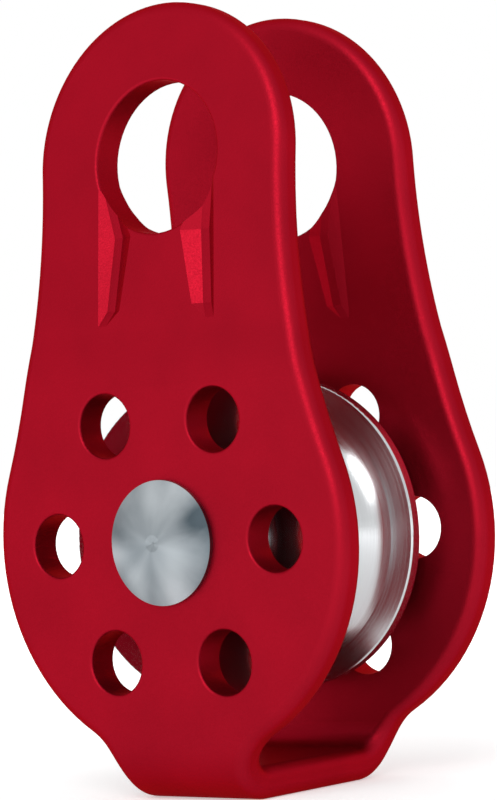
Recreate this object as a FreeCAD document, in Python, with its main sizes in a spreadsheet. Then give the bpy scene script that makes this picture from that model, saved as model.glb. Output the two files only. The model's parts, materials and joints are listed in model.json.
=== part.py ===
import FreeCAD, Part
import math
import os
import Sketcher

# Fixed-cheek mini pulley, in millimetres. Every piece is built about the axle's centre, with +X to the
# right of the front cheek, +Y from the front cheek to the rear one and +Z up, and is then placed so that
# the origin lies under the middle of the web, where the pulley stands.

os.makedirs("parts", exist_ok=True)
doc = FreeCAD.newDocument("MiniPulley")

# Driving sizes
SIZES = [
    ("sheet_thickness", 3.6, "thickness of the folded sheet"),
    ("lower_gap", 22.2, "between the inner faces beside the sheave"),
    ("draw_in", 0.5, "how far each cheek draws in towards the other over the bend"),
    ("bend_clear", 0.45, "from the highest lightening hole up to where the cheeks start to draw in"),
    ("bend_rise", 6.0, "height of the bend"),
    ("lean", 4.7, "degrees that the cheeks still lean in above the bend"),
    ("web_depth", 27.6, "from the axle down to the web's underside"),
    ("web_width", 16.4, "width of the web that joins the cheeks"),
    ("fold_radius", 2.6, "inside radius of the two folds"),
    ("cheek_radius", 23.4, "round lower part of the cheek, about the axle"),
    ("waist_radius", 85.0, "hollow sides between the lower part and the top"),
    ("top_radius", 16.65, "round top of the cheek, about the eye"),
    ("throat_radius", 7.0, "hollow corners where the cheek runs into the web"),
    ("edge_round", 1.3, "rounding of the cheeks' outer edges"),
    ("eye_round", 0.3, "rounding of the eyes' outer edges"),
    ("window_round", 0.3, "rounding of the lightening holes' outer edges"),
    ("eye_radius", 8.2, "eye through both cheeks"),
    ("eye_height", 41.1, "height of the eye's centre above the axle"),
    ("window_radius", 3.45, "lightening holes"),
    ("window_inset", 8.73, "from the cheek's round edge to the middle of a lightening hole"),
    ("window_count", 6, "lightening holes in each cheek"),
    ("flute_reach", 7.9, "outer edge of each pressed flute, from the middle"),
    ("flute_depth", 1.1, "depth of the flutes at the eye's lower edge"),
    ("flute_floor", 1.1, "width of a flute's flat floor"),
    ("flute_foot", 23.4, "height where the flutes start"),
    ("flute_runout", 1.6, "height over which a flute's foot drops to its floor"),
    ("flute_toe", 0.6, "depth at the top of the run-out"),
    ("flute_flank", 1.8, "run of a flute's inner flank for each unit of depth"),
    ("flute_wall", 1.3, "run of a flute's outer flank for each unit of depth"),
    ("ridge_share", 0.55, "height of the ridge behind a flute for each unit of depth"),
    ("axle_radius", 4.0, "shank of the axle rivet"),
    ("head_radius", 6.65, "rivet heads"),
    ("head_height", 1.9, "rivet heads above the cheek, at the top of the dome"),
    ("head_edge", 0.5, "straight edge under the dome"),
    ("dimple_radius", 0.9, "dimple in the middle of a head"),
    ("dimple_depth", 0.15, "depth of the dimple below the dome's top"),
    ("washer_radius", 8.4, "outside of the thrust washers"),
    ("washer_thickness", 1.0, "thickness of the thrust washers"),
    ("side_play", 0.08, "gap between the hub and each thrust washer"),
    ("running_play", 0.05, "radial gap of what turns on the axle"),
    ("bushing_wall", 1.5, "wall of the bushing"),
    ("sheave_radius", 17.2, "outside of the sheave"),
    ("hub_radius", 9.2, "boss of the sheave's hub"),
    ("groove_radius", 6.5, "rope groove in section"),
    ("groove_depth", 6.4, "from the sheave's outside down to the groove's floor"),
    ("groove_slope", 68.9, "degrees that the groove's flanks rise from the axle's direction"),
    ("rim_land", 1.6, "width of each flange's outside, from the groove's edge to the side"),
    ("rim_round", 0.25, "rounding of the flanges' rims"),
]

sheet = doc.addObject("Spreadsheet::Sheet", "Sizes")
for row, (alias, value, note) in enumerate(SIZES, start=1):
    sheet.set("A%d" % row, alias)
    sheet.set("B%d" % row, str(value))
    sheet.set("C%d" % row, note)
    sheet.setAlias("B%d" % row, alias)
doc.recompute()


def size(alias):
    """A driving size as a plain number."""
    return float(sheet.get(alias))


V = FreeCAD.Vector


def origin_plane(body, role):
    return next(f for f in body.Origin.OriginFeatures if f.Role == role)


def new_body(label):
    """A body about the axle's centre, placed so that the web's underside is at the origin."""
    body = doc.addObject("PartDesign::Body", label)
    body.Label = label
    body.setExpression("Placement.Base.z", "Sizes.web_depth")
    return body


def new_sketch(body, name, role):
    sketch = body.newObject("Sketcher::SketchObject", name)
    sketch.AttachmentSupport = (origin_plane(body, role), [""])
    sketch.MapMode = "FlatFace"
    return sketch


def circle_sketch(body, name, role, radius, across="0", up="0"):
    """A sketch with one circle, its radius and centre bound to expressions."""
    sketch = new_sketch(body, name, role)
    ring = sketch.addGeometry(Part.Circle(V(1, 1, 0), V(0, 0, 1), 2), False)
    for kind, place, expression in (("Radius", (ring,), radius), ("DistanceX", (-1, 1, ring, 3), across),
                                    ("DistanceY", (-1, 1, ring, 3), up)):
        index = sketch.addConstraint(Sketcher.Constraint(kind, *place, 1.0))
        sketch.setExpression("Constraints[%d]" % index, expression)
    return sketch


def add_path(sketch, pieces):
    """Adds lines (two points) and arcs (start, a point on the way, end) to a sketch."""
    for piece in pieces:
        points = [V(a, b, 0) for a, b in piece]
        sketch.addGeometry(Part.LineSegment(*points) if len(points) == 2 else Part.Arc(*points), False)


def mirrored_path(pieces):
    """The other half of a path, run backwards, mirrored in the sketch's upright axis."""
    return [tuple((-a, b) for a, b in reversed(piece)) for piece in reversed(pieces)]


def arc(centre, radius, start, end):
    """An arc of a circle as start, middle and end; angles in degrees."""
    def at(angle):
        t = math.radians(angle)
        return (centre[0]+radius*math.cos(t), centre[1]+radius*math.sin(t))
    return (at(start), at((start+end)/2), at(end))


def closed(points):
    """Straight pieces from point to point and back to the first."""
    return [(points[i], points[(i+1) % len(points)]) for i in range(len(points))]


def angle_to(start, end):
    return math.degrees(math.atan2(end[1]-start[1], end[0]-start[0]))


def sharp_edges(shape, keep=lambda edge: True):
    """Names of the edges where two faces meet at a clear angle."""
    names = []
    for number, edge in enumerate(shape.Edges, start=1):
        if not keep(edge):
            continue
        point = edge.valueAt((edge.FirstParameter+edge.LastParameter)/2)
        normals = []
        for face in shape.ancestorsOfType(edge, Part.Face):
            normals.append(face.normalAt(*face.Surface.parameter(point)))
        if len(normals) == 2 and normals[0].getAngle(normals[1]) > math.radians(20):
            names.append("Edge%d" % number)
    return names


def add_fillet(body, name, radius, keep=lambda edge: True):
    """Rounds the sharp edges of the body so far that keep() picks."""
    doc.recompute()
    base = body.Tip
    fillet = body.newObject("PartDesign::Fillet", name)
    fillet.Base = (base, sharp_edges(base.Shape, keep))
    fillet.setExpression("Radius", radius)
    body.Tip = fillet
    return fillet


# Folded sheet that forms both cheeks

def window_centres():
    """Places of the lightening holes' centres about the axle, as (across, up)."""
    count, ring = int(size("window_count")), size("cheek_radius")-size("window_inset")
    turns = [2*math.pi*i/count for i in range(count)]
    return [(ring*math.cos(t), ring*math.sin(t)) for t in turns]


def bend():
    """The bend's mid radius, its turn and remaining lean in radians, and the centres of its two arcs."""
    highest = max(up for across, up in window_centres())
    start, rise = highest+size("window_radius")+size("bend_clear"), size("bend_rise")
    lean, share = math.radians(size("lean")), size("draw_in")/size("bend_rise")
    turn = math.atan(share)+math.acos((1+math.cos(lean)+share*math.sin(lean))/(2*math.hypot(1, share)))
    radius = rise/(2*math.sin(turn)-math.sin(lean))
    first = (size("lower_gap")/2+size("sheet_thickness")/2-radius, start)
    second = (first[0]+2*radius*math.cos(turn), first[1]+2*radius*math.sin(turn))
    return radius, turn, lean, first, second


def section_half(offset):
    """Right half of one skin of the folded sheet, from the web's middle up; offset 0 is the inner skin."""
    thick, fold, low = size("sheet_thickness"), size("fold_radius"), size("lower_gap")/2
    floor = -size("web_depth")+thick
    radius, turn, lean, centre_in, centre_out = bend()
    first = arc(centre_in, radius-thick/2+offset, 0, math.degrees(turn))
    second = arc(centre_out, radius+thick/2-offset, 180+math.degrees(turn), 180+math.degrees(lean))
    fold_arc = arc((low-fold, floor+fold), fold+offset, -90, 0)
    reach = size("eye_height")+size("top_radius")+thick-second[2][1]
    return [((0, floor-offset), fold_arc[0]), fold_arc, (fold_arc[2], first[0]), first, second,
            (second[2], (second[2][0]-reach*math.tan(lean), second[2][1]+reach))]


def face_at(z):
    """Distance of the cheek's outer face from the middle plane at height z."""
    thick = size("sheet_thickness")
    radius, turn, lean, first, second = bend()
    if z < first[1]:
        return size("lower_gap")/2+thick
    if z < first[1]+(radius+thick/2)*math.sin(turn):
        return first[0]+math.sqrt((radius+thick/2)**2-(z-first[1])**2)
    end = second[1]-(radius-thick/2)*math.sin(lean)
    level = min(z, end)
    face = second[0]-math.sqrt((radius-thick/2)**2-(level-second[1])**2)
    return face-max(0, z-end)*math.tan(lean)


def outline_half():
    """Right half of the cheek's outline, from the apex down to the web."""
    big, waist, top = size("cheek_radius"), size("waist_radius"), size("top_radius")
    up, foot, throat = size("eye_height"), size("web_width")/2, size("throat_radius")
    near, far = top+waist, big+waist
    side_up = (far**2-near**2+up**2)/(2*up)
    side = (math.sqrt(far**2-side_up**2), side_up)
    corner = (foot+throat, -math.sqrt((big+throat)**2-(foot+throat)**2))
    below = -size("web_depth")-size("sheet_thickness")
    to_side = angle_to((0, up), side)
    to_waist = angle_to((0, 0), side)
    to_corner = angle_to((0, 0), corner)
    crown = arc((0, up), top, 90, to_side)
    hollow = arc(side, waist, to_side+180, to_waist+180)
    belly = arc((0, 0), big, to_waist, to_corner)
    neck = arc(corner, throat, to_corner+180, 180)
    return [crown, hollow, belly, neck, (neck[2], (foot, below)), ((foot, below), (0, below))]


def flute_section(depth, share, face, half_span):
    """A flute across the sheet: both ends of its floor and two points beyond the face."""
    outer, inner = size("flute_wall")/share, size("flute_flank")/share
    drop = depth*share
    start = size("flute_reach")-drop*outer
    end = start-size("flute_floor")
    rise = drop+half_span
    return [(start, face-drop), (start+rise*outer, face+half_span), (end-rise*inner, face+half_span),
            (end, face-drop)]


def flute_stations():
    """Heights and depths that the flutes pass through, from beyond their foot up into the eye."""
    foot, runout, toe = size("flute_foot"), size("flute_runout"), size("flute_toe")
    rim = size("eye_height")-size("eye_radius")
    return [(foot-runout, -toe), (foot+runout, toe), (rim, size("flute_depth")),
            (size("eye_height")+runout, -toe/2)]


def add_flute(body, name, kind, across, away, share, offset, span):
    """One flute, or the ridge behind it, as a ruled loft: across and away are +1 or -1 and say which."""
    sketches = []
    for number, (z, depth) in enumerate(flute_stations()):
        sketch = new_sketch(body, "%sSection%d" % (name, number), "XY_Plane")
        sketch.AttachmentOffset = FreeCAD.Placement(V(0, 0, z), FreeCAD.Rotation())
        corners = [(across*x, away*y) for x, y in flute_section(depth, share, face_at(z)-offset, span)]
        add_path(sketch, closed(corners))
        sketches.append(sketch)
    doc.recompute()
    loft = body.newObject(kind, name)
    loft.Profile = sketches[0]
    loft.Sections = sketches[1:]
    loft.Ruled = True
    loft.Refine = False
    body.Tip = loft


def through_pocket(body, name, sketch):
    """Cuts a sketch through everything, both ways."""
    pocket = body.newObject("PartDesign::Pocket", name)
    pocket.Profile = sketch
    pocket.SideType = "Symmetric"
    pocket.Type = "ThroughAll"
    body.Tip = pocket
    return pocket


def on_circle(x, z, radius):
    """Picks the edges that lie on a cylinder along Y with its centre line at (x, z)."""
    def keep(edge):
        return all(abs(math.hypot(p.x-x, p.z-z)-radius) < 0.01 for p in edge.discretize(5))
    return keep


def build_cheek_frame():
    """One folded sheet: both cheeks and the web between them."""
    body = new_body("cheek_frame")
    thick = size("sheet_thickness")
    section = new_sketch(body, "FoldedSection", "YZ_Plane")
    inner, outer = section_half(0), section_half(thick)
    half = inner+[(inner[-1][-1], outer[-1][-1])]+[tuple(reversed(piece)) for piece in reversed(outer)]
    add_path(section, half+mirrored_path(half))
    pad = body.newObject("PartDesign::Pad", "FoldedSheet")
    pad.Profile = section
    pad.SideType = "Symmetric"
    pad.setExpression("Length", "2*Sizes.cheek_radius+2*Sizes.sheet_thickness")
    body.Tip = pad

    blank = new_sketch(body, "CheekOutline", "XZ_Plane")
    half = outline_half()
    add_path(blank, half+mirrored_path(half))
    reach = size("cheek_radius")+2*thick
    above, below = size("eye_height")+size("top_radius")+2*thick, -size("web_depth")-2*thick
    frame = [(-reach, below), (reach, below), (reach, above), (-reach, above)]
    add_path(blank, closed(frame))
    through_pocket(body, "TrimToOutline", blank)
    add_fillet(body, "EdgeRound", "Sizes.edge_round")

    # Pressed flutes: the ridges on the inner faces first, then the eye, then the flutes outside
    for away in (-1, 1):
        for across in (-1, 1):
            side = ("Front" if away < 0 else "Rear")+("Left" if across < 0 else "Right")
            add_flute(body, side+"Ridge", "PartDesign::AdditiveLoft", across, away, size("ridge_share"),
                      thick, thick/4)
    through_pocket(body, "Eye", circle_sketch(body, "EyeCircle", "XZ_Plane", "Sizes.eye_radius",
                                              up="Sizes.eye_height"))
    at_eye = on_circle(0, size("eye_height"), size("eye_radius"))
    middle = face_at(size("eye_height"))-thick/2
    add_fillet(body, "EyeRound", "Sizes.eye_round",
               lambda edge: at_eye(edge) and abs(edge.CenterOfMass.y) > middle)
    for away in (-1, 1):
        for across in (-1, 1):
            side = ("Front" if away < 0 else "Rear")+("Left" if across < 0 else "Right")
            add_flute(body, side+"Flute", "PartDesign::SubtractiveLoft", across, away, 1, 0, thick/4)

    through_pocket(body, "AxleHole", circle_sketch(body, "AxleCircle", "XZ_Plane", "Sizes.axle_radius"))
    window = through_pocket(body, "Window", circle_sketch(body, "WindowCircle", "XZ_Plane",
                                                          "Sizes.window_radius",
                                                          across="Sizes.cheek_radius-Sizes.window_inset"))
    pattern = body.newObject("PartDesign::PolarPattern", "WindowRing")
    pattern.Originals = [window]
    pattern.Axis = (origin_plane(body, "Y_Axis"), [""])
    pattern.Angle = 360
    pattern.setExpression("Occurrences", "Sizes.window_count")
    body.Tip = pattern
    tests = [on_circle(across, up, size("window_radius")) for across, up in window_centres()]
    middle = (size("lower_gap")+thick)/2
    add_fillet(body, "WindowRound", "Sizes.window_round",
               lambda edge: abs(edge.CenterOfMass.y) > middle and any(test(edge) for test in tests))
    return body


# Turning parts and what holds them

def revolved(label, path):
    """A body turned about the axle from a closed path of (along the axle, radius) pieces."""
    body = new_body(label)
    sketch = new_sketch(body, "Profile", "YZ_Plane")
    add_path(sketch, path)
    turned = body.newObject("PartDesign::Revolution", "Turned")
    turned.Profile = sketch
    turned.ReferenceAxis = (origin_plane(body, "Y_Axis"), [""])
    turned.Angle = 360
    body.Tip = turned
    return body


def bore_of_bushing():
    return size("axle_radius")+size("running_play")


def hub_half():
    return size("lower_gap")/2-size("washer_thickness")-size("side_play")


def build_sheave():
    """Wheel with a round rope groove, two flanges with a narrow flat outside, and a hub boss on each side."""
    bore, hub = bore_of_bushing()+size("bushing_wall"), size("hub_radius")
    outer, curve, rim = size("sheave_radius"), size("groove_radius"), size("rim_round")
    slope = size("groove_slope")
    groove = arc((0, outer-size("groove_depth")+curve), curve, -90, slope-90)
    lean = math.radians(slope)
    climb = outer-rim+rim*math.cos(lean)-groove[2][1]
    edge = arc((groove[2][0]+climb/math.tan(lean)+rim*math.sin(lean), outer-rim), rim, 90+slope, 90)
    half = edge[2][0]-rim+size("rim_land")
    corner = arc((half-rim, outer-rim), rim, 90, 0)
    right = [groove, (groove[2], edge[0]), edge, (edge[2], corner[0]), corner, (corner[2], (half, hub)),
             ((half, hub), (hub_half(), hub)), ((hub_half(), hub), (hub_half(), bore)),
             ((hub_half(), bore), (0, bore))]
    return revolved("sheave", right+mirrored_path(right))


def build_bushing():
    """Sleeve pressed into the sheave."""
    inner, half = bore_of_bushing(), hub_half()
    outer = inner+size("bushing_wall")
    return revolved("bushing", closed([(-half, inner), (half, inner), (half, outer), (-half, outer)]))


def build_axle():
    """Rivet through both cheeks, with a low domed head on each that is dimpled in the middle."""
    shank, head, edge = size("axle_radius"), size("head_radius"), size("head_edge")
    face = size("lower_gap")/2+size("sheet_thickness")
    dome = size("head_height")-edge
    ball = (head**2+dome**2)/(2*dome)
    centre = (face+edge+dome-ball, 0)
    mouth = size("dimple_radius")
    pole = size("head_height")-size("dimple_depth")+face
    lip = arc(centre, ball, math.degrees(math.asin(head/ball)), math.degrees(math.asin(mouth/ball)))
    right = [((0, shank), (face, shank)), ((face, shank), (face, head)), ((face, head), lip[0]), lip,
             (lip[2], (pole, 0))]
    return revolved("axle_rivet", mirrored_path(right)+right+[((pole, 0), (-pole, 0))])


def build_washer(label, away):
    """Washer that lies against one cheek's inner face."""
    inner, outer = bore_of_bushing(), size("washer_radius")
    near, far = size("lower_gap")/2-size("washer_thickness"), size("lower_gap")/2
    return revolved(label, closed([(away*near, inner), (away*far, inner), (away*far, outer),
                                   (away*near, outer)]))


bodies = [build_cheek_frame(), build_sheave(), build_bushing(), build_axle(),
          build_washer("thrust_washer_front", -1), build_washer("thrust_washer_rear", 1)]
doc.recompute()

for item in doc.Objects:
    if {"Invalid", "Error"} & set(item.State):
        raise RuntimeError("%s did not compute" % item.Label)
for body in bodies:
    if body.Shape.isNull() or not body.Shape.isValid() or len(body.Shape.Solids) != 1:
        raise RuntimeError("%s is not one valid solid" % body.Label)
    body.Shape.exportStep("parts/%s.step" % body.Label)
    print(body.Label, round(body.Shape.Volume, 2), body.Shape.BoundBox)
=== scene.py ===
"""Mini pulley: finishes for the folded cheeks, the sheave and the riveted axle, and a plain studio."""
import json
import math

import bpy
from bpy.props import FloatProperty, FloatVectorProperty, PointerProperty
from mathutils import Matrix, Vector


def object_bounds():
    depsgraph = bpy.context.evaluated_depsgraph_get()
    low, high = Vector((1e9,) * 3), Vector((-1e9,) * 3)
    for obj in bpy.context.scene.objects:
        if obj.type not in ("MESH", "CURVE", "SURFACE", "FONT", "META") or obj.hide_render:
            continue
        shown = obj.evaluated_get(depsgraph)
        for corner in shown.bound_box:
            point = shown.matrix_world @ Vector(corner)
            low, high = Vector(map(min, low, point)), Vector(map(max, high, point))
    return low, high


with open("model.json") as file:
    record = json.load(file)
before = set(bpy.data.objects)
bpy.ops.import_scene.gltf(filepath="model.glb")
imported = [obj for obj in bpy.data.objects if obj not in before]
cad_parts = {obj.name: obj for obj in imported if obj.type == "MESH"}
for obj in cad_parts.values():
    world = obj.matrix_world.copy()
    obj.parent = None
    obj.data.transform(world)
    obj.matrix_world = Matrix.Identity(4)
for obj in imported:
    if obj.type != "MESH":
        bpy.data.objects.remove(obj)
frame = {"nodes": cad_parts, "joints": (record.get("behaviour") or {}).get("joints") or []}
CAD_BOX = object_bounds()

bl_info = {
    "name": "Mini pulley",
    "version": (1, 0, 0),
    "blender": (4, 5, 0),
    "location": "View3D > Sidebar > Pulley",
    "description": "Finishes of a mini pulley with fixed cheeks and a plain studio to view it in",
    "category": "Object",
}

MM = 0.001
AXLE = Vector(frame["joints"][0]["pos_m"])
WHITE = (1.0, 1.0, 1.0, 1.0)

# Sockets of a Mix node, which has a pair of them for each kind of value
SHARE = 0
NUMBER_A, NUMBER_B = 2, 3
COLOUR_A, COLOUR_B, COLOUR_OUT = 6, 7, 2

# The middle range that a noise fills, which is mapped onto each finish's own range
NOISE_RANGE = {"From Min": 0.3, "From Max": 0.7}

# How far the pattern on the rivet heads moves on with each millimetre outwards: a little, so clouds fan out
FAN_DRIFT = 0.12
# What the narrow streaks add to the broad clouds on the rivet heads
STREAK_SHARE = 0.08
# Tone halfway between the dark clouds of painted shade and the bright clouds of painted sheen
MIDDLE_TONE = 0.5


def linear(code):
    """An sRGB hex colour as the linear values that shaders take."""
    channels = [int(code[i:i+2], 16)/255 for i in (0, 2, 4)]
    return tuple(c/12.92 if c <= 0.04045 else ((c+0.055)/1.055)**2.4 for c in channels)


def opaque(colour):
    """A colour with the full opacity that colour sockets ask for."""
    return tuple(colour)+(1.0,)


# Building blocks for node trees

def plug(tree, node, inputs):
    """Sets a node's inputs to values, or links them to a socket or to another node's first output."""
    for key, value in inputs.items():
        if isinstance(value, bpy.types.Node):
            value = value.outputs[0]
        if isinstance(value, bpy.types.NodeSocket):
            tree.links.new(value, node.inputs[key])
        else:
            node.inputs[key].default_value = value


def add_node(tree, kind, inputs=None, **settings):
    """Adds one node with its settings and inputs."""
    node = tree.nodes.new("ShaderNode"+kind)
    for key, value in settings.items():
        setattr(node, key, value)
    plug(tree, node, inputs or {})
    return node


def new_material(name):
    """A material with a Principled shader, which is wired to the output."""
    material = bpy.data.materials.new(name)
    material.use_nodes = True
    tree = material.node_tree
    tree.nodes.clear()
    shader = add_node(tree, "BsdfPrincipled")
    add_node(tree, "OutputMaterial", {"Surface": shader})
    return material, tree, shader


def in_mm(tree):
    """The object's own coordinates in millimetres."""
    place = add_node(tree, "TexCoord").outputs["Object"]
    return add_node(tree, "VectorMath", {0: place, "Scale": 1/MM}, operation="SCALE")


def about_axle(tree):
    """Sockets about the axle: millimetres along and from it, and x and z of the direction away from it."""
    place = add_node(tree, "VectorMath", {0: in_mm(tree), 1: tuple(AXLE/MM)}, operation="SUBTRACT")
    across = add_node(tree, "VectorMath", {0: place, 1: (1, 0, 1)}, operation="MULTIPLY")
    radius = add_node(tree, "VectorMath", {0: across}, operation="LENGTH")
    outward = add_node(tree, "VectorMath", {0: across}, operation="NORMALIZE")
    direction = add_node(tree, "SeparateXYZ", {0: outward}).outputs
    return {"along": add_node(tree, "SeparateXYZ", {0: place}).outputs["Y"],
            "radius": radius.outputs["Value"],
            "x": direction["X"],
            "z": direction["Z"]}


# Finishes

def red_anodised(finish):
    """Folded aluminium sheet, tumbled and anodised: satin red, faintly cloudy, with a fine grain."""
    material, tree, shader = new_material("Red anodised aluminium, tumbled")
    place = in_mm(tree)
    cloud = add_node(tree, "TexNoise", {"Vector": place, "Scale": MM/finish.cloud, "Detail": 2.0})
    grain = add_node(tree, "TexNoise", {"Vector": place, "Scale": MM/finish.grain, "Detail": 3.0,
                                        "Roughness": 0.65})
    share = add_node(tree, "MapRange", {"Value": cloud, **NOISE_RANGE})
    shade = add_node(tree, "Mix", {SHARE: share, COLOUR_A: opaque(finish.deep_red),
                                   COLOUR_B: opaque(finish.red)}, data_type="RGBA")
    rough = add_node(tree, "MapRange", {"Value": grain, **NOISE_RANGE, "To Min": 0.42, "To Max": 0.56})
    bump = add_node(tree, "Bump", {"Height": grain, "Strength": 0.8, "Distance": 0.025*MM})
    plug(tree, shader, {"Base Color": shade.outputs[COLOUR_OUT], "Metallic": 0.96, "Roughness": rough,
                        "Specular Tint": opaque(finish.edge_red), "Normal": bump})
    return material


def turned_aluminium(finish):
    """Bright aluminium from the lathe: it mirrors the red cheeks, softened by fine even lines."""
    material, tree, shader = new_material("Turned aluminium")
    axle = about_axle(tree)
    section = add_node(tree, "CombineXYZ", {"X": axle["along"], "Y": axle["radius"]})
    lines = add_node(tree, "TexNoise", {"Vector": section, "Scale": MM/finish.lathe_line, "Detail": 2.0})
    rough = add_node(tree, "MapRange", {"Value": lines, **NOISE_RANGE, "To Min": 0.17, "To Max": 0.24})
    bump = add_node(tree, "Bump", {"Height": lines, "Strength": 0.12, "Distance": 0.01*MM})
    plug(tree, shader, {"Base Color": opaque(finish.aluminium), "Metallic": 1.0, "Roughness": rough,
                        "Normal": bump})
    return material


def formed_steel_painted_sheen(finish, head_radius):
    """Zinc-plated steel, its heads pressed to shape: bright and dark clouds that fan out to the rim, which
    are painted sheen and painted shade in the colour.
    """
    material, tree, shader = new_material("Zinc-plated steel, formed")
    axle = about_axle(tree)
    drift = add_node(tree, "Math", {0: axle["radius"], 1: FAN_DRIFT}, operation="MULTIPLY")
    # The fan's own radius is one, so each spacing at the rim is taken as a share of the head's radius
    fan = add_node(tree, "CombineXYZ", {"X": axle["x"], "Y": axle["z"], "Z": drift})
    broad = add_node(tree, "TexNoise", {"Vector": fan, "Scale": head_radius/finish.head_cloud,
                                        "Detail": 0.5})
    streaks = add_node(tree, "TexNoise", {"Vector": fan, "Scale": head_radius/finish.head_streak,
                                          "Detail": 2.0})
    clouds = add_node(tree, "Mix", {SHARE: STREAK_SHARE, NUMBER_A: broad, NUMBER_B: streaks})
    # The clouds of painted sheen and painted shade fade to a middle tone at the centre of the head
    outward = add_node(tree, "Math", {0: axle["radius"], 1: head_radius/MM}, operation="DIVIDE")
    calm = add_node(tree, "Mix", {SHARE: outward, NUMBER_A: MIDDLE_TONE, NUMBER_B: clouds})
    share = add_node(tree, "MapRange", {"Value": calm, **NOISE_RANGE})
    # The colour runs from the steel in painted shade to the bright steel: the clouds are painted
    # reflection, bright patches of painted sheen and dark patches of painted shade
    shade = add_node(tree, "Mix", {SHARE: share, COLOUR_A: opaque(finish.painted_shade_steel),
                                   COLOUR_B: opaque(finish.steel)}, data_type="RGBA")
    rough = add_node(tree, "MapRange", {"Value": streaks, **NOISE_RANGE, "To Min": 0.28, "To Max": 0.36})
    bump = add_node(tree, "Bump", {"Height": broad, "Strength": 0.5, "Distance": 0.15*MM})
    plug(tree, shader, {"Base Color": shade.outputs[COLOUR_OUT], "Metallic": 1.0, "Roughness": rough,
                        "Normal": bump})
    return material


def sintered_bronze(finish):
    """Bearing bronze, pressed and sintered: dull and porous."""
    material, tree, shader = new_material("Sintered bronze")
    pores = add_node(tree, "TexNoise", {"Vector": in_mm(tree), "Scale": MM/finish.pore, "Detail": 2.0})
    rough = add_node(tree, "MapRange", {"Value": pores, **NOISE_RANGE, "To Min": 0.40, "To Max": 0.60})
    plug(tree, shader, {"Base Color": opaque(finish.bronze), "Metallic": 1.0, "Roughness": rough})
    return material


def bearing_plastic(finish):
    """Black bearing plastic, taken to be moulded: matte and even."""
    material, tree, shader = new_material("Black bearing plastic")
    grain = add_node(tree, "TexNoise", {"Vector": in_mm(tree), "Scale": MM/finish.plastic_grain,
                                        "Detail": 2.0})
    rough = add_node(tree, "MapRange", {"Value": grain, **NOISE_RANGE, "To Min": 0.50, "To Max": 0.62})
    plug(tree, shader, {"Base Color": opaque(finish.plastic), "Roughness": rough})
    return material


def dress(node, material):
    """Gives a CAD node one material."""
    mesh = frame["nodes"][node].data
    mesh.materials.clear()
    mesh.materials.append(material)


# Sizes and colours that a user may change

def colour_property(name, description, code):
    """A colour, which is given as sRGB hex and kept linear."""
    return FloatVectorProperty(name=name, description=description, subtype="COLOR", size=3, min=0.0,
                               max=1.0, default=linear(code))


def spacing_property(name, description, millimetres):
    """A pattern's spacing, which is given in millimetres and kept in metres."""
    return FloatProperty(name=name, description=description, unit="LENGTH", precision=5,
                         min=0.01*MM, default=millimetres*MM)


class PulleyFinish(bpy.types.PropertyGroup):
    """Colours and patterns of the pieces."""
    red: colour_property("Red", "Anodised red of the folded sheet", "9D1224")
    deep_red: colour_property("Deep red", "Darker cloud in the anodised red", "951122")
    edge_red: colour_property("Edge red", "Tint where the sheet is seen at a low angle", "E0465C")
    aluminium: colour_property("Aluminium", "Turned sheave", "C4C6C8")
    # The bright and dark clouds on the rivet heads are painted sheen and painted shade: reflections painted
    # into the steel's colour
    steel: colour_property("Steel", "Bright clouds on the rivet heads", "B4BABE")
    painted_shade_steel: colour_property("Steel in painted shade", "Dark clouds on the rivet heads", "4C575E")
    bronze: colour_property("Bronze", "Bushing", "A87C48")
    plastic: colour_property("Plastic", "Thrust washers", "1C1C1E")
    cloud: spacing_property("Cloud", "Spacing of the clouds in the anodised red", 1/0.12)
    # A pixel of the render covers about 0.11 mm. The tumbled grain and the lathe lines are finer than
    # that on the real pulley, so they are drawn between one and two pixels wide.
    grain: spacing_property("Grain", "Spacing of the tumbled grain", 1/5)
    lathe_line: spacing_property("Lathe lines", "Spacing of the lines on the sheave", 1/7)
    head_cloud: spacing_property("Head clouds", "Spacing of the rivet heads' clouds at the rim", 4.75)
    head_streak: spacing_property("Head streaks", "Spacing of the rivet heads' streaks at the rim", 6.65/6)
    # The bushing and the washers are hidden between the cheeks, so neither pattern is drawn to show
    pore: spacing_property("Pores", "Spacing of the bronze's pores", 1/12)
    plastic_grain: spacing_property("Plastic grain", "Spacing of the washers' grain", 1/6)


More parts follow.
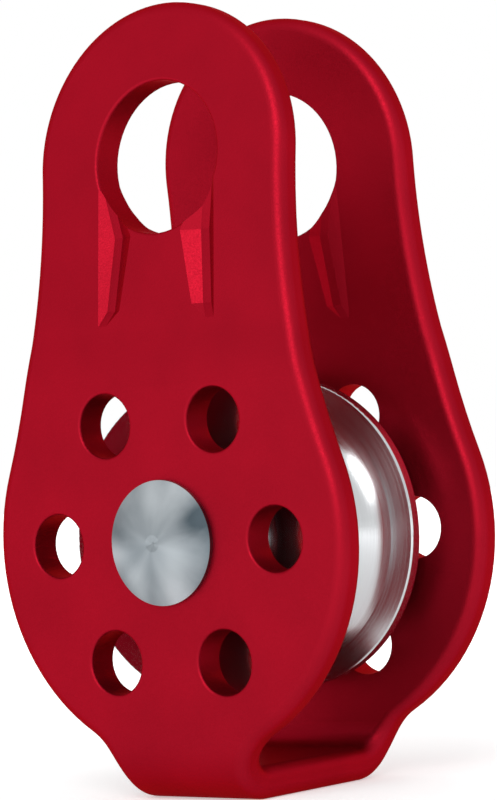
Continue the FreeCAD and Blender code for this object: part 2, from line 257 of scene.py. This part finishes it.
class PulleyStudio(bpy.types.PropertyGroup):
    """Camera, lamp, surroundings and floor."""
    camera_at: FloatVectorProperty(name="Camera", description="Where the camera stands",
                                   subtype="TRANSLATION", unit="LENGTH",
                                   default=(0.194658, -0.255466, 0.034759))
    camera_target: FloatVectorProperty(name="Target", description="What the camera looks at",
                                       subtype="TRANSLATION", unit="LENGTH",
                                       default=(0.000750, 0.000556, 0.042496))
    camera_roll: FloatProperty(name="Roll", description="Turn of the camera about its line of sight",
                               subtype="ANGLE", default=math.radians(-3.01))
    lens: FloatProperty(name="Lens", description="Focal length for a picture 36 mm high", unit="CAMERA",
                        default=131.58)
    lamp_at: FloatVectorProperty(name="Key lamp", description="Where the soft key lamp hangs",
                                 subtype="TRANSLATION", unit="LENGTH", default=(0.26, -0.52, 0.36))
    lamp_target: FloatVectorProperty(name="Lamp target", description="What the key lamp faces",
                                     subtype="TRANSLATION", unit="LENGTH", default=(0.0, 0.0, 0.045))
    lamp_width: FloatProperty(name="Lamp width", description="Side of the square key lamp", unit="LENGTH",
                              default=0.30)
    lamp_power: FloatProperty(name="Lamp power", description="Power of the key lamp", unit="POWER",
                              default=1.7)
    fill: FloatProperty(name="Surroundings", description="Brightness of the studio's walls",
                        default=0.55, min=0.0, max=2.0)
    floor_colour: colour_property("Floor", "Pale studio floor", "F4F4F4")
    floor_radius: FloatProperty(name="Floor radius", description="How far the floor reaches",
                                unit="LENGTH", default=3.0)
    floor_glow: FloatProperty(name="Floor glow", description="White added to the floor under the pulley",
                              default=0.45, min=0.0, max=1.0)
    glow_near: FloatProperty(name="Glow starts", description="Distance at which the added white grows",
                             unit="LENGTH", default=0.03)
    glow_far: FloatProperty(name="Glow is full", description="Distance from which the floor is plain white",
                            unit="LENGTH", default=0.25)


# Operators

class PULLEY_OT_cheeks(bpy.types.Operator):
    """Gives the folded sheet its tumbled red anodising"""
    bl_idname = "pulley.cheeks"
    bl_label = "Finish the cheeks"

    def execute(self, context):
        dress("cheek_frame", red_anodised(context.scene.pulley_finish))
        return {"FINISHED"}


class PULLEY_OT_sheave(bpy.types.Operator):
    """Gives the sheave and its bushing their metals"""
    bl_idname = "pulley.sheave"
    bl_label = "Finish the sheave"

    def execute(self, context):
        finish = context.scene.pulley_finish
        dress("sheave", turned_aluminium(finish))
        dress("bushing", sintered_bronze(finish))
        return {"FINISHED"}


class PULLEY_OT_axle(bpy.types.Operator):
    """Gives the axle rivet and the thrust washers their finishes"""
    bl_idname = "pulley.axle"
    bl_label = "Finish the axle"

    def execute(self, context):
        finish = context.scene.pulley_finish
        rivet = frame["nodes"]["axle_rivet"].data
        head_radius = max(vertex.co.x for vertex in rivet.vertices)
        dress("axle_rivet", formed_steel_painted_sheen(finish, head_radius))
        plastic = bearing_plastic(finish)
        for node in ("thrust_washer_front", "thrust_washer_rear"):
            dress(node, plastic)
        return {"FINISHED"}


def add_camera(scene, studio):
    """The camera of the photograph's view."""
    data = bpy.data.cameras.new("Photograph's view")
    data.lens = studio.lens
    data.sensor_width = 36.0
    data.clip_start = 0.01
    camera = bpy.data.objects.new("Photograph's view", data)
    scene.collection.objects.link(camera)
    place = Vector(studio.camera_at)
    sight = Vector(studio.camera_target)-place
    turn = sight.to_track_quat("-Z", "Y").to_matrix().to_4x4() @ Matrix.Rotation(studio.camera_roll, 4, "Z")
    camera.matrix_world = Matrix.Translation(place) @ turn
    scene.camera = camera


def add_key_lamp(scene, studio):
    """A square soft lamp that faces its target."""
    data = bpy.data.lights.new("Key lamp", "AREA")
    data.shape = "SQUARE"
    data.size = studio.lamp_width
    data.energy = studio.lamp_power
    lamp = bpy.data.objects.new("Key lamp", data)
    scene.collection.objects.link(lamp)
    lamp.location = studio.lamp_at
    sight = Vector(studio.lamp_target)-Vector(studio.lamp_at)
    lamp.rotation_euler = sight.to_track_quat("-Z", "Y").to_euler()


def background_share(tree):
    """One where a ray should meet the plain white background, zero where it only gathers light."""
    path = add_node(tree, "LightPath").outputs
    share = path["Is Camera Ray"]
    for ray in ("Is Glossy Ray", "Is Transmission Ray"):
        share = add_node(tree, "Math", {0: share, 1: path[ray]}, operation="MAXIMUM")
    return share


def add_world(scene, studio):
    """Even soft light all round, which the camera and the metals see as plain white."""
    world = bpy.data.worlds.new("Studio")
    scene.world = world
    world.use_nodes = True
    tree = world.node_tree
    tree.nodes.clear()
    light = add_node(tree, "Background", {"Color": WHITE, "Strength": studio.fill})
    white = add_node(tree, "Background", {"Color": WHITE, "Strength": 1.0})
    mix = add_node(tree, "MixShader", {0: background_share(tree), 1: light, 2: white})
    add_node(tree, "OutputWorld", {"Surface": mix})


def add_floor(scene, studio, height):
    """A round pale floor that the camera sees as white but for the object's shadow."""
    sides = 64
    turns = [2*math.pi*i/sides for i in range(sides)]
    ring = [(studio.floor_radius*math.cos(t), studio.floor_radius*math.sin(t), height) for t in turns]
    mesh = bpy.data.meshes.new("Floor")
    mesh.from_pydata(ring, [], [list(range(sides))])
    floor = bpy.data.objects.new("Floor", mesh)
    scene.collection.objects.link(floor)
    material, tree, shader = new_material("Pale studio floor")
    plug(tree, shader, {"Base Color": opaque(studio.floor_colour), "Roughness": 0.9})
    place = add_node(tree, "TexCoord").outputs["Object"]
    away = add_node(tree, "VectorMath", {0: place}, operation="LENGTH").outputs["Value"]
    lift = add_node(tree, "MapRange", {"Value": away, "From Min": studio.glow_near,
                                       "From Max": studio.glow_far, "To Min": studio.floor_glow,
                                       "To Max": 1.0})
    strength = add_node(tree, "Math", {0: lift, 1: background_share(tree)}, operation="MULTIPLY")
    glow = add_node(tree, "Emission", {"Color": WHITE, "Strength": strength})
    both = add_node(tree, "AddShader", {0: shader, 1: glow})
    output = next(node for node in tree.nodes if node.type == "OUTPUT_MATERIAL")
    plug(tree, output, {"Surface": both})
    mesh.materials.append(material)


class PULLEY_OT_stage(bpy.types.Operator):
    """Sets up the camera, the lamp, the white surroundings and the floor"""
    bl_idname = "pulley.stage"
    bl_label = "Set up the studio"

    def execute(self, context):
        scene = context.scene
        studio = scene.pulley_studio
        add_camera(scene, studio)
        add_world(scene, studio)
        add_key_lamp(scene, studio)
        add_floor(scene, studio, CAD_BOX[0][2])
        scene.view_settings.view_transform = "Standard"
        return {"FINISHED"}


class PULLEY_PT_panel(bpy.types.Panel):
    """Lists the pulley's finishes and studio"""
    bl_idname = "PULLEY_PT_panel"
    bl_label = "Mini pulley"
    bl_space_type = "VIEW_3D"
    bl_region_type = "UI"
    bl_category = "Pulley"

    def draw(self, context):
        for group in (context.scene.pulley_finish, context.scene.pulley_studio):
            for name in group.bl_rna.properties.keys():
                if name not in ("rna_type", "name"):
                    self.layout.prop(group, name)
        for operator in OPERATORS:
            self.layout.operator(operator.bl_idname)


OPERATORS = (PULLEY_OT_cheeks, PULLEY_OT_sheave, PULLEY_OT_axle, PULLEY_OT_stage)
CLASSES = (PulleyFinish, PulleyStudio)+OPERATORS+(PULLEY_PT_panel,)


def register():
    for item in CLASSES:
        bpy.utils.register_class(item)
    bpy.types.Scene.pulley_finish = PointerProperty(type=PulleyFinish)
    bpy.types.Scene.pulley_studio = PointerProperty(type=PulleyStudio)


def unregister():
    del bpy.types.Scene.pulley_studio
    del bpy.types.Scene.pulley_finish
    for item in reversed(CLASSES):
        bpy.utils.unregister_class(item)


def main():
    register()
    bpy.ops.pulley.cheeks()
    bpy.ops.pulley.sheave()
    bpy.ops.pulley.axle()
    bpy.ops.pulley.stage()


if __name__ == "__main__":
    main()
